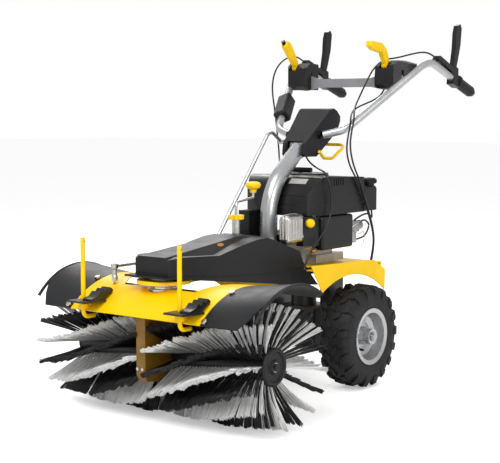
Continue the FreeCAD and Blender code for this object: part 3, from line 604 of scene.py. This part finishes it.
def add_fittings():
    """Grip ribs, black discs that paint the shade in the column holes, valve stems, gear case
    bolts and the belt cover plug.
    """
    profile = []
    for k in range(12):
        along = 12 + 7.2 * k
        profile += [(15.5, along), (18.2, along + 0.8), (18.2, along + 4.2), (15.5, along + 5)]
    turned("grip_ribs", profile, GRIP_START, BAR_HEADING, grip_rubber, "handlebar",
           copies=(1, -1))
    # Painted shade: black discs sit in the column holes where only the shaded inside of the
    # tube would show.
    holes = []
    for k in range(15):
        z = 398 + 13.5 * k
        y = -76 - 2 * (z - 375) / 228
        holes.append([(COLUMN_R * 0.93 - 0.5, y + COLUMN_R * 0.37, z),
                      (COLUMN_R * 0.93 + 0.25, y + COLUMN_R * 0.37 + 0.1, z)])
    rods("column_hole_painted_shade", holes, 2.6, black_moulding, "chassis", "silver_paint", sides=14)
    creases = [[(side * x, y, z) for x, y, z in
                ((80.6, -564, 404), (95.1, -426, 388), (100.1, -214, 374), (112, -69, 378),
                 (114.2, -54, 382))] for side in (-1, 1)]
    rods("belt_cover_creases", creases, 1.3, charcoal_moulding, "boom", "black_plastic")
    for side, name in ((1, "right"), (-1, "left")):
        stem = [(side * 212, 84, 124), (side * 236, 82, 122), (side * 243, 81.6, 121.6)]
        rods(f"valve_stem_{name}", [stem], 3.6, black_moulding, f"wheel_{name}",
             "tyre_rubber")
    bolts = [[(x, -644.5, z), (x, -649.5, z)] for z in (152, 300) for x in (-9, 9)]
    rods("gear_case_bolts", bolts, 4.6, zinc_plate, "brush_head", "zinc_steel", sides=6)
    plate("cover_plug", [(50 + 5 * math.cos(a), -367 + 13 * math.sin(a),
                          467.6 - 3.8 * math.cos(a) + 1.1 * math.sin(a))
                         for a in [2 * math.pi * k / 20 for k in range(20)]],
          1.4, amber_plug, "boom")


# ------------------------------------------------------------------ bristles

def bristle_rows(name, finish_of, parity):
    """All rows of one colour: tufts along a helix, each a fan of straight three-sided rods."""
    sizes = brush_sizes()
    rng = np.random.default_rng(sizes.seed + parity)
    inner, outer = 0.028, 0.329
    pitch = 2 * math.pi / sizes.rows
    tufts = np.linspace(inner, outer, sizes.tufts)
    rods = []
    for side in (-1, 1):
        for row in range(parity, sizes.rows, 2):
            for along in tufts:
                count = sizes.rods
                x = np.full(count, side * along)
                turn = FIRST_ROW_TURN + row * pitch + sizes.twist * side * along
                fan = rng.uniform(-1, 1, (count, 2))
                lean = rng.normal(0, 0.012) + fan[:, 1] * 0.034
                rods.append(np.column_stack([
                    x, np.full(count, turn), lean, fan[:, 0] * 0.0054 + rng.normal(0, 0.0012),
                    rng.uniform(0.1695, 0.1752) - rng.uniform(0, 0.004, count),
                    rng.normal(0, 0.006, count), rng.uniform(0.85, 1.15, count), fan[:, 0]]))
    x, turn, lean, drift, reach, bow, girth, fan = np.vstack(rods).T
    share = (np.abs(x) - inner) / (outer - inner)
    flare = np.sign(x) * (0.070 * share ** 6 - 0.010 * (1 - share) ** 8)
    flare = flare * rng.uniform(0.86, 1.02, len(x))
    reach = reach - 0.012 * share ** 6
    steps = np.array([0.0, 0.35, 0.7, 1.0])
    rings = []
    for step in steps:
        radius = CORE_RADIUS + (reach - CORE_RADIUS) * step
        angle = turn + lean * (0.25 + 0.75 * step) + bow * step * step
        px = x + flare * step ** 1.25 + drift * (0.30 + 0.70 * step)
        centre = np.column_stack([px, BRUSH_AXIS.y - radius * np.cos(angle),
                                  BRUSH_AXIS.z + radius * np.sin(angle)])
        across = np.column_stack([np.zeros_like(x), np.sin(angle), np.cos(angle)])
        along = np.tile([1.0, 0.0, 0.0], (len(x), 1))
        width = (sizes.thickness * 0.5 * girth)[:, None]
        for k in range(3):
            a = 2 * math.pi * k / 3
            rings.append(centre + width * (math.cos(a) * across + math.sin(a) * along))
    points = np.stack(rings, axis=1).reshape(-1, 3)
    points[:, 2] = np.maximum(points[:, 2], 0.0004)
    points[:, 0] = np.clip(points[:, 0], -BRUSH_HALF_WIDTH, BRUSH_HALF_WIDTH)
    base = (np.arange(len(x)) * 3 * len(steps))[:, None]
    quads = []
    for ring in range(len(steps) - 1):
        for k in range(3):
            a, b = 3 * ring + k, 3 * ring + (k + 1) % 3
            quads.append(np.hstack([base + a, base + b, base + b + 3, base + a + 3]))
    last = 3 * (len(steps) - 1)
    caps = np.hstack([base + last, base + last + 1, base + last + 2]).tolist()
    data = bpy.data.meshes.new(name)
    data.from_pydata(points.tolist(), [], np.vstack(quads).tolist() + caps)
    data.update()
    for face in data.polygons:
        face.use_smooth = True
    item = link_object(data, name)
    data.materials.append(finish_of())
    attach(item, "brush_roller")
    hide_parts("bristles")
    return item


# ------------------------------------------------------------------ cables

CABLES = {
    "drive_cable": ([
        (258, 465.2, 1016), (252, 448, 1028), (230, 430, 1033), (202, 405, 1025),
        (170, 378, 1014), (136, 352, 1009), (112, 328, 980), (102, 302, 934),
        (100, 268, 890), (114, 222, 860), (139, 178, 842), (160, 146, 818),
        (162, 128, 778), (158, 127, 738), (158, 140, 694), (156, 162, 662),
        (153, 190, 632), (152, 214, 590), (151, 245, 537), (149, 273, 486),
        (145, 292, 440), (140, 294, 398), (137, 286, 356), (136, 264.5, 336)], 1.019),
    "gear_cable": ([
        (142, 350, 917), (135, 344, 897), (121, 322, 880), (109, 288, 868),
        (104, 248, 856), (112, 208, 842), (131, 172, 829), (152, 138, 802),
        (153, 122, 764), (150, 120, 724), (149, 136, 684), (148, 162, 654),
        (146.5, 192, 626), (145.5, 222, 582), (144.5, 252, 530), (143, 280, 480),
        (139, 298, 436), (133, 299, 394), (129, 290, 352), (128, 264.5, 330)], 0.804),
    "throttle_cable": ([
        (-12, 128, 735), (-6, 121, 706), (22, 108, 684), (60, 90, 670),
        (98, 62, 664), (132, 32, 660), (151, 24, 634), (153, 34, 596),
        (153, 38, 552), (152, 22, 510), (151, -12, 474), (149, -48, 444),
        (145, -78, 412), (144, -92, 376)], 0.540),
    "brush_cable_line": ([
        (-258, 465.2, 1016), (-262, 446, 1029), (-278, 424, 1034), (-296, 396, 1020),
        (-306, 370, 990), (-302, 346, 952), (-286, 322, 910), (-258, 296, 862),
        (-228, 266, 814), (-198, 234, 766), (-170, 204, 722), (-144, 172, 690),
        (-112, 130, 676), (-78, 86, 668), (-50, 46, 664), (-33, 8, 652),
        (-30, -30, 614), (-30, -58, 566), (-29, -76, 524), (-29, -82, 480)], 0.924),
}


def add_cable(name, points):
    """One sheathed cable that runs between the handlebar and the machine."""
    tube, path = tube_mesh(name, points, SHEATH_DIAMETER / 2)
    item = link_object(tube, name)
    tube.materials.clear()
    tube.materials.append(cable_sheath())
    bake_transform(item)
    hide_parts("brush_cable" if name == "brush_cable_line" else "control_cables")
    return item


# ------------------------------------------------------------------ tyres

def lug(vertices, faces, corners, low, high):
    """One tread block: corners are (x, angle) pairs; low and high give its radii there."""
    first = len(vertices)
    for radius_of in (low, high):
        for x, angle in corners:
            radius = radius_of(x)
            shrink = 1.0 if radius_of is low else 0.90
            mid_x = sum(c[0] for c in corners) / len(corners)
            mid_a = sum(c[1] for c in corners) / len(corners)
            px = mid_x + (x - mid_x) * shrink
            pa = mid_a + (angle - mid_a) * shrink
            vertices.append((px, -radius * math.cos(pa), radius * math.sin(pa)))
    n = len(corners)
    faces.append([first + n + k for k in range(n)])
    for k in range(n):
        nxt = (k + 1) % n
        faces.append([first + k, first + nxt, first + n + nxt, first + n + k])


def add_tyre(side):
    """Carcass with knobbly blocks: a broken centre row and wrapped shoulder blocks."""
    profile = [(77, -43), (82, -45), (90, -47.5), (104, -50), (122, -50.2), (136, -48),
               (145, -42), (149, -30), (151.5, -14), (152, 0), (151.5, 14), (149, 30),
               (145, 42), (136, 48), (122, 50.2), (104, 50), (90, 47.5), (82, 45), (77, 43)]
    steps = 96
    vertices, faces = [], []
    for index in range(steps):
        angle = 2 * math.pi * index / steps
        for radius, x in profile:
            vertices.append((x, -radius * math.cos(angle), radius * math.sin(angle)))
    width = len(profile)
    for index in range(steps):
        nxt = (index + 1) % steps
        for k in range(width - 1):
            faces.append([index * width + k, index * width + k + 1,
                          nxt * width + k + 1, nxt * width + k])

    def skin(x):
        ax = abs(x)
        if ax < 42:
            return 152 - 7 * (ax / 42) ** 2
        return 145 - (ax - 42) * 2.3

    def crown(x):
        ax = abs(x)
        return 158.6 - 3.6 * (ax / 44) ** 2.2 if ax < 46 else 152.5 - (ax - 46) * 5.5

    pitch = 2 * math.pi / TREAD_PITCHES
    for index in range(TREAD_PITCHES):
        for half in (-1, 1):
            b = index * pitch + (0.5 * pitch if half > 0 else 0)
            lug(vertices, faces, [(half * 3, b - 0.10), (half * 20, b - 0.03),
                                  (half * 22, b + 0.10), (half * 5, b + 0.05)],
                lambda x: skin(x) - 2, crown)
            lug(vertices, faces, [(half * 27, b + 0.06), (half * 45, b + 0.10),
                                  (half * 45, b + 0.27), (half * 29, b + 0.22)],
                lambda x: skin(x) - 2, crown)
    shoulder_r = [(150, 45.5), (140, 51.2), (128, 52.0), (118, 51.4)]
    for index in range(TREAD_PITCHES):
        for half in (-1, 1):
            b = index * pitch + (0.5 * pitch if half > 0 else 0)
            start = len(vertices)
            reach = 4 if index % 2 else 3
            for radius, x in shoulder_r[:reach]:
                for inset in (0, 3):
                    for angle in (b + 0.10, b + 0.27):
                        px = half * (x - inset)
                        vertices.append((px, -radius * math.cos(angle),
                                         radius * math.sin(angle)))
            for k in range(reach - 1):
                i = start + 4 * k
                j = i + 4
                faces += [[i, i + 1, j + 1, j], [i + 2, j + 2, j + 3, i + 3],
                          [i, j, j + 2, i + 2], [i + 1, i + 3, j + 3, j + 1]]
            faces += [[start, start + 2, start + 3, start + 1],
                      [start + 4 * (reach - 1) + q for q in (0, 1, 3, 2)]]
    centre = Vector((side * WHEEL_CENTRE.x, WHEEL_CENTRE.y, WHEEL_CENTRE.z))
    placed = [Vector(v) * MM + centre for v in vertices]
    name = "left" if side < 0 else "right"
    item = mesh_piece(f"knobbly_tyre_{name}", placed, faces, tyre_rubber, f"wheel_{name}")
    bevel = item.modifiers.new("bevel", "BEVEL")
    bevel.width = 0.0009
    bevel.segments = 2
    bevel.limit_method = "ANGLE"
    bevel.angle_limit = math.radians(40)
    shade = item.modifiers.new("shade", "WEIGHTED_NORMAL")
    shade.weight = 80
    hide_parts(f"tyre_{name}")
    return item


# ------------------------------------------------------------------ operators

class SWEEPER_OT_node_finishes(bpy.types.Operator):
    """Gives every carried-over part its finish and softens its edges"""
    bl_idname = "sweeper.node_finishes"
    bl_label = "Finish the machined parts"

    def execute(self, context):
        for finish_of, names in node_finishes().items():
            for name in names:
                node = NODES[name]
                node.data.materials.clear()
                node.data.materials.append(finish_of())
        for name, width in EDGE_WIDTHS.items():
            bevelled(NODES[name], width * MM, segments=2 if width < 4 else 5)
        return {"FINISHED"}


EDGE_WIDTHS = {
    "belt_cover": 5, "console": 8, "blower_housing": 9, "filter_cover": 1.5,
    "lever_boots": 8, "lever_left": 2.5, "lever_right": 2.5, "lever_clamps": 1.5,
    "deck": 1.2, "side_panels": 1.2, "brush_cover": 0.8, "boom_arm": 1.5, "latches": 1,
    "head_frame": 1, "cross_plate": 1, "frame_brackets": 1, "gear_case": 1.5,
    "engine_block": 1.2, "transmission": 2, "column": 0.8, "star_nut": 1.2,
    "head_fasteners": 0.8, "carburettor": 1.2, "fuel_tank": 2, "fuel_cap": 1,
    "starter_grip": 2, "brush_end_caps": 0.8, "muffler": 1.2,
}


class SWEEPER_OT_bristles(bpy.types.Operator):
    """Plants the light and dark bristle rows on both halves of the roller"""
    bl_idname = "sweeper.bristles"
    bl_label = "Bristle rows"

    def execute(self, context):
        bristle_rows("bristles_light", white_nylon, 0)
        bristle_rows("bristles_dark", black_nylon, 1)
        return {"FINISHED"}


class SWEEPER_OT_cables(bpy.types.Operator):
    """Runs the control cables from the handlebar to the machine"""
    bl_idname = "sweeper.cables"
    bl_label = "Control cables"

    def execute(self, context):
        for name, (points, length) in CABLES.items():
            add_cable(name, points)
        return {"FINISHED"}


class SWEEPER_OT_engine(bpy.types.Operator):
    """Adds the pressed ribs, hoses, linkage and label of the engine"""
    bl_idname = "sweeper.engine"
    bl_label = "Engine details"

    def execute(self, context):
        add_engine_details()
        return {"FINISHED"}


class SWEEPER_OT_fittings(bpy.types.Operator):
    """Adds grip ribs, black discs that paint the shade in the column holes, valve stems and
    the cover plug
    """
    bl_idname = "sweeper.fittings"
    bl_label = "Small fittings"

    def execute(self, context):
        add_fittings()
        return {"FINISHED"}


class SWEEPER_OT_tyres(bpy.types.Operator):
    """Builds the two knobbly tyres"""
    bl_idname = "sweeper.tyres"
    bl_label = "Tyres"

    def execute(self, context):
        for side in (-1, 1):
            add_tyre(side)
        return {"FINISHED"}


def area_light(name, place, target, size, power):
    """A square soft light that faces its target."""
    data = bpy.data.lights.new(name, "AREA")
    data.size = size
    data.energy = power
    item = link_object(data, name)
    item.location = place
    item.rotation_mode = "QUATERNION"
    item.rotation_quaternion = (Vector(target) - Vector(place)).to_track_quat("-Z", "Y")
    return item


class SWEEPER_OT_stage(bpy.types.Operator):
    """Sets the floor, the soft lights and the camera"""
    bl_idname = "sweeper.stage"
    bl_label = "Floor, light and camera"

    @staticmethod
    def brighten(material):
        """Lifts the floor towards white for the camera without lighting the machine."""
        tree = material.node_tree
        shader = tree.nodes["Principled BSDF"]
        path = tree.nodes.new("ShaderNodeLightPath")
        level = tree.nodes.new("ShaderNodeMath")
        level.operation = "MULTIPLY"
        level.inputs[1].default_value = 0.40
        tree.links.new(path.outputs["Is Camera Ray"], level.inputs[0])
        tree.links.new(level.outputs["Value"], shader.inputs["Emission Strength"])
        shader.inputs["Emission Color"].default_value = (1, 1, 1, 1)

    def execute(self, context):
        settings = context.scene.sweeper_stage
        scene = context.scene
        scene.view_settings.view_transform = "Standard"
        world = bpy.data.worlds.new("soft sky")
        scene.world = world
        world.use_nodes = True
        tree = world.node_tree
        back = tree.nodes["Background"]
        back.inputs["Color"].default_value = (1, 1, 1, 1)
        path = tree.nodes.new("ShaderNodeLightPath")
        level = tree.nodes.new("ShaderNodeMapRange")
        level.inputs["To Min"].default_value = settings.sky
        level.inputs["To Max"].default_value = 1.0
        tree.links.new(path.outputs["Is Camera Ray"], level.inputs["Value"])
        tree.links.new(level.outputs["Result"], back.inputs["Strength"])
        half = 30.0
        floor = bpy.data.meshes.new("floor")
        floor.from_pydata([(-half, -half, 0), (half, -half, 0), (half, half, 0),
                           (-half, half, 0)], [], [(0, 1, 2, 3)])
        item = link_object(floor, "floor")
        pale = finish("pale floor", settings.floor, 0.8, fine=40, bump=0.02, mottle=0.5,
                      shift=0.01)
        self.brighten(pale)
        floor.materials.append(pale)
        area_light("key", (0.6, -3.0, 3.8), (0, -0.2, 0.4), 2.6, 115)
        area_light("side", (3.6, -1.2, 1.8), (0, 0, 0.5), 1.8, 45)
        area_light("rim", (-2.4, 2.6, 3.2), (0, 0, 0.6), 2.5, 90)
        camera = bpy.data.cameras.new("camera")
        camera.sensor_width = 36.0
        camera.lens = settings.lens
        camera.clip_end = 100
        seat = link_object(camera, "camera")
        level_reach = math.cos(CAMERA_RISE)
        behind = Vector((math.sin(CAMERA_AZIMUTH) * level_reach,
                         -math.cos(CAMERA_AZIMUTH) * level_reach, math.sin(CAMERA_RISE)))
        seat.location = CAMERA_PLACE
        seat.rotation_mode = "QUATERNION"
        seat.rotation_quaternion = (-behind).to_track_quat("-Z", "Y")
        scene.camera = seat
        return {"FINISHED"}


OPERATORS = (SWEEPER_OT_stage, SWEEPER_OT_cables, SWEEPER_OT_node_finishes,
             SWEEPER_OT_engine, SWEEPER_OT_fittings, SWEEPER_OT_bristles, SWEEPER_OT_tyres)


class SWEEPER_PT_panel(bpy.types.Panel):
    """Lists the steps that build the sweeper's looks"""
    bl_idname = "SWEEPER_PT_panel"
    bl_label = "Sweeper"
    bl_space_type = "VIEW_3D"
    bl_region_type = "UI"
    bl_category = "Sweeper"

    def draw(self, context):
        for operator in OPERATORS:
            self.layout.operator(operator.bl_idname)
        for group in (context.scene.sweeper_colours, context.scene.sweeper_brush,
                      context.scene.sweeper_stage):
            for name in group.__annotations__:
                self.layout.prop(group, name)


GROUPS = {"sweeper_colours": SweeperColours, "sweeper_brush": SweeperBrush,
          "sweeper_stage": SweeperStage}


def register():
    """Adds the settings, the operators and the panel."""
    for group in GROUPS.values():
        bpy.utils.register_class(group)
    for name, group in GROUPS.items():
        setattr(bpy.types.Scene, name, bpy.props.PointerProperty(type=group))
    for item in (*OPERATORS, SWEEPER_PT_panel):
        bpy.utils.register_class(item)


def unregister():
    """Removes what register added."""
    for item in (SWEEPER_PT_panel, *reversed(OPERATORS)):
        bpy.utils.unregister_class(item)
    for name, group in GROUPS.items():
        delattr(bpy.types.Scene, name)
        bpy.utils.unregister_class(group)


def main():
    """Builds every group of pieces in order."""
    register()
    for operator in OPERATORS:
        area, name = operator.bl_idname.split(".")
        getattr(getattr(bpy.ops, area), name)()


if __name__ == "__main__":
    main()
